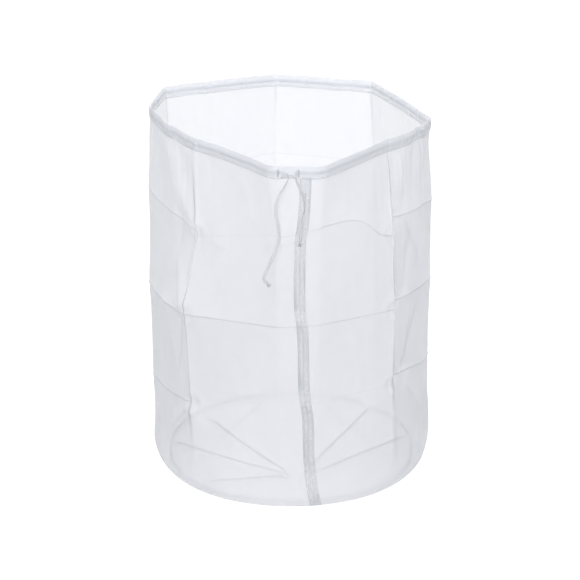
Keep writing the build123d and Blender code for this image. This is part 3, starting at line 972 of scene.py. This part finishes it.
left_tail, left_line, left_length = make_tail(
    "left_tail_braid", LEFT_TAIL, [0, 0.1, 0.2, 0.6, 0.75, 0.86, 0.92, 1], [0, 30, 75, 85, 50, 60, 115, 150])
right_tail, right_line, right_length = make_tail(
    "right_tail_braid", RIGHT_TAIL, [0, 0.25, 0.4, 0.5, 0.6, 0.85, 1], [30, 75, 45, -20, -95, -100, -160])
left_knot = make_knot("left_knot_braid", left_line[-1], left_line[-1] - left_line[-6])
right_knot = make_knot("right_knot_braid", right_line[-1], right_line[-1] - right_line[-6], size=5.0 * MM)
for tail, knot, line, length, body, cad_tail, cad_knot in (
        (left_tail, left_knot, left_line, left_length, "left_end", "left_tail", "left_tail_knot"),
        (right_tail, right_knot, right_line, right_length, "right_end", "right_tail", "right_tail_knot")):
    stand_for(tail, cad_tail, body)
    stand_for(knot, cad_knot, body)


def make_captive_cord(up=7.2 * MM):
    """The drawstring's stretch inside the casing: round the mouth, with both ends turned out at the front."""
    left_exit, right_exit = LEFT_TAIL[0][0] * MM, RIGHT_TAIL[0][0] * MM
    around = np.linspace(right_exit + 2 * MM, GIRTH + left_exit - 2 * MM, 900)
    outer, inner = (casing_point(around, np.full_like(around, up), side) for side in (1, -1))
    ring = (outer + inner) / 2

    def turned_out(x, sign):
        tip = np.array([x, LEFT_TAIL[0][1] * MM, LEFT_TAIL[0][2] * MM])
        start = ring[0] if sign > 0 else ring[-1]
        t = np.linspace(0, 1, 14)[:, None]
        corner = np.array([x, start[1], start[2]])
        return (1 - t) ** 2 * start + 2 * t * (1 - t) * corner + t**2 * tip

    line = np.vstack([turned_out(right_exit, 1)[::-1], ring[1:-1], turned_out(left_exit, -1)])
    points, at = evenly(line, 1.0 * MM)
    way = unit(np.gradient(points, axis=0))
    flat_way = np.cross(way, [0.0, 0.0, 1.0])
    return make_braid("drawstring_braid_in_casing", points, at, flat_way, thickness=0.9 * MM)


drawstring = stand_for(make_captive_cord(), "drawstring", body="mouth")


# ---- pieces baked in place -------------------------------------------------------------
# The wall and what is sewn to it have their placing baked into their points; they stand between the floor
# and the mouth's own line, which stands a little higher at the back.
for piece in (side_wall, seam_tape, seam_stitches):
    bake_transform(piece)


# ---- room and light --------------------------------------------------------------------
def make_floor(reach=6.0):
    """A wide pale floor, lit so that it meets the white backdrop without a line. The bag itself gets only
    a soft grey light back from it, and less at both sides, as from dark cloths laid beside the bag."""
    material, tree = new_material("studio_floor")
    camera = node(tree, "LightPath").outputs["Is Camera Ray"]
    surface = node(tree, "BsdfDiffuse", {"Color": (0.14, 0.14, 0.14, 1)})
    place = node(tree, "SeparateXYZ", {0: node(tree, "TexCoord").outputs["Object"]})
    beside = math_node(tree, "ABSOLUTE", place.outputs[0])
    near = in_range(tree, beside, 0.12, 0.2, 0.0, FLOOR_LIGHT - 0.04)
    far = in_range(tree, beside, 0.3, 0.6, 1.0, 0.0)
    soft = math_node(tree, "SUBTRACT", FLOOR_LIGHT, math_node(tree, "MULTIPLY", near, far))
    power = in_range(tree, camera, 0.0, 1.0, soft, 0.93)
    glow = node(tree, "Emission", {"Color": (1, 1, 1, 1), "Strength": power})
    both = node(tree, "AddShader", {0: surface.outputs[0], 1: glow.outputs[0]})
    node(tree, "OutputMaterial", {"Surface": both.outputs[0]})
    corners = reach * np.array([(-1, -1, 0), (1, -1, 0), (1, 1, 0), (-1, 1, 0)], float)
    floor = add_mesh("floor", corners, np.array([[0, 1, 2, 3]]), material)


def set_world(seen_strength, front, back, sides, top):
    """White behind everything the camera sees. The bag is lit from each direction by that direction's
    strength: a soft box behind and above, a weaker fill in front, and dark flags at both sides."""
    world = bpy.data.worlds.new("studio")
    scene.world = world
    world.use_nodes = True
    tree = world.node_tree
    tree.nodes.clear()
    way = node(tree, "SeparateXYZ", {0: node(tree, "TexCoord").outputs["Generated"]})
    depth = in_range(tree, way.outputs[1], -0.8, 0.8, front, back)
    side = math_node(tree, "POWER", math_node(tree, "ABSOLUTE", way.outputs[0]), 2.0)
    level = node(tree, "Mix", {0: side, 2: depth, 3: sides}, data_type="FLOAT").outputs[0]
    above = in_range(tree, way.outputs[2], 0.45, 0.95, 0.0, 1.0)
    strength = node(tree, "Mix", {0: above, 2: level, 3: top}, data_type="FLOAT").outputs[0]
    strength = math_node(tree, "MAXIMUM", strength, 0.0)
    seen = node(tree, "Background", {0: (1, 1, 1, 1), 1: seen_strength})
    lit = node(tree, "Background", {0: linear("#F9FAFF"), 1: strength})
    camera = node(tree, "LightPath").outputs["Is Camera Ray"]
    node(tree, "OutputWorld", {"Surface": mixed(tree, camera, lit, seen).outputs[0]})


def add_area_light(name, place, target, size, power):
    """A square lamp that points from its place at the target."""
    data = bpy.data.lights.new(name, "AREA")
    data.shape = "SQUARE"
    data.size = size
    data.energy = power
    light = bpy.data.objects.new(name, data)
    scene.collection.objects.link(light)
    light.location = place
    way = np.array(target) - np.array(place)
    tilt = math.atan2(math.hypot(way[0], way[1]), -way[2])
    light.rotation_euler = (tilt, 0, math.atan2(way[0], -way[1]) + math.pi)


FLOOR_LIGHT = 0.47
make_floor()
set_world(seen_strength=1.02, front=1.34, back=4.0, sides=-1.0, top=1.6)
add_area_light("key", (-0.3, -1.3, 2.0), (0, 0, 0.2), size=0.6, power=6.0)
scene.view_settings.view_transform = "Standard"
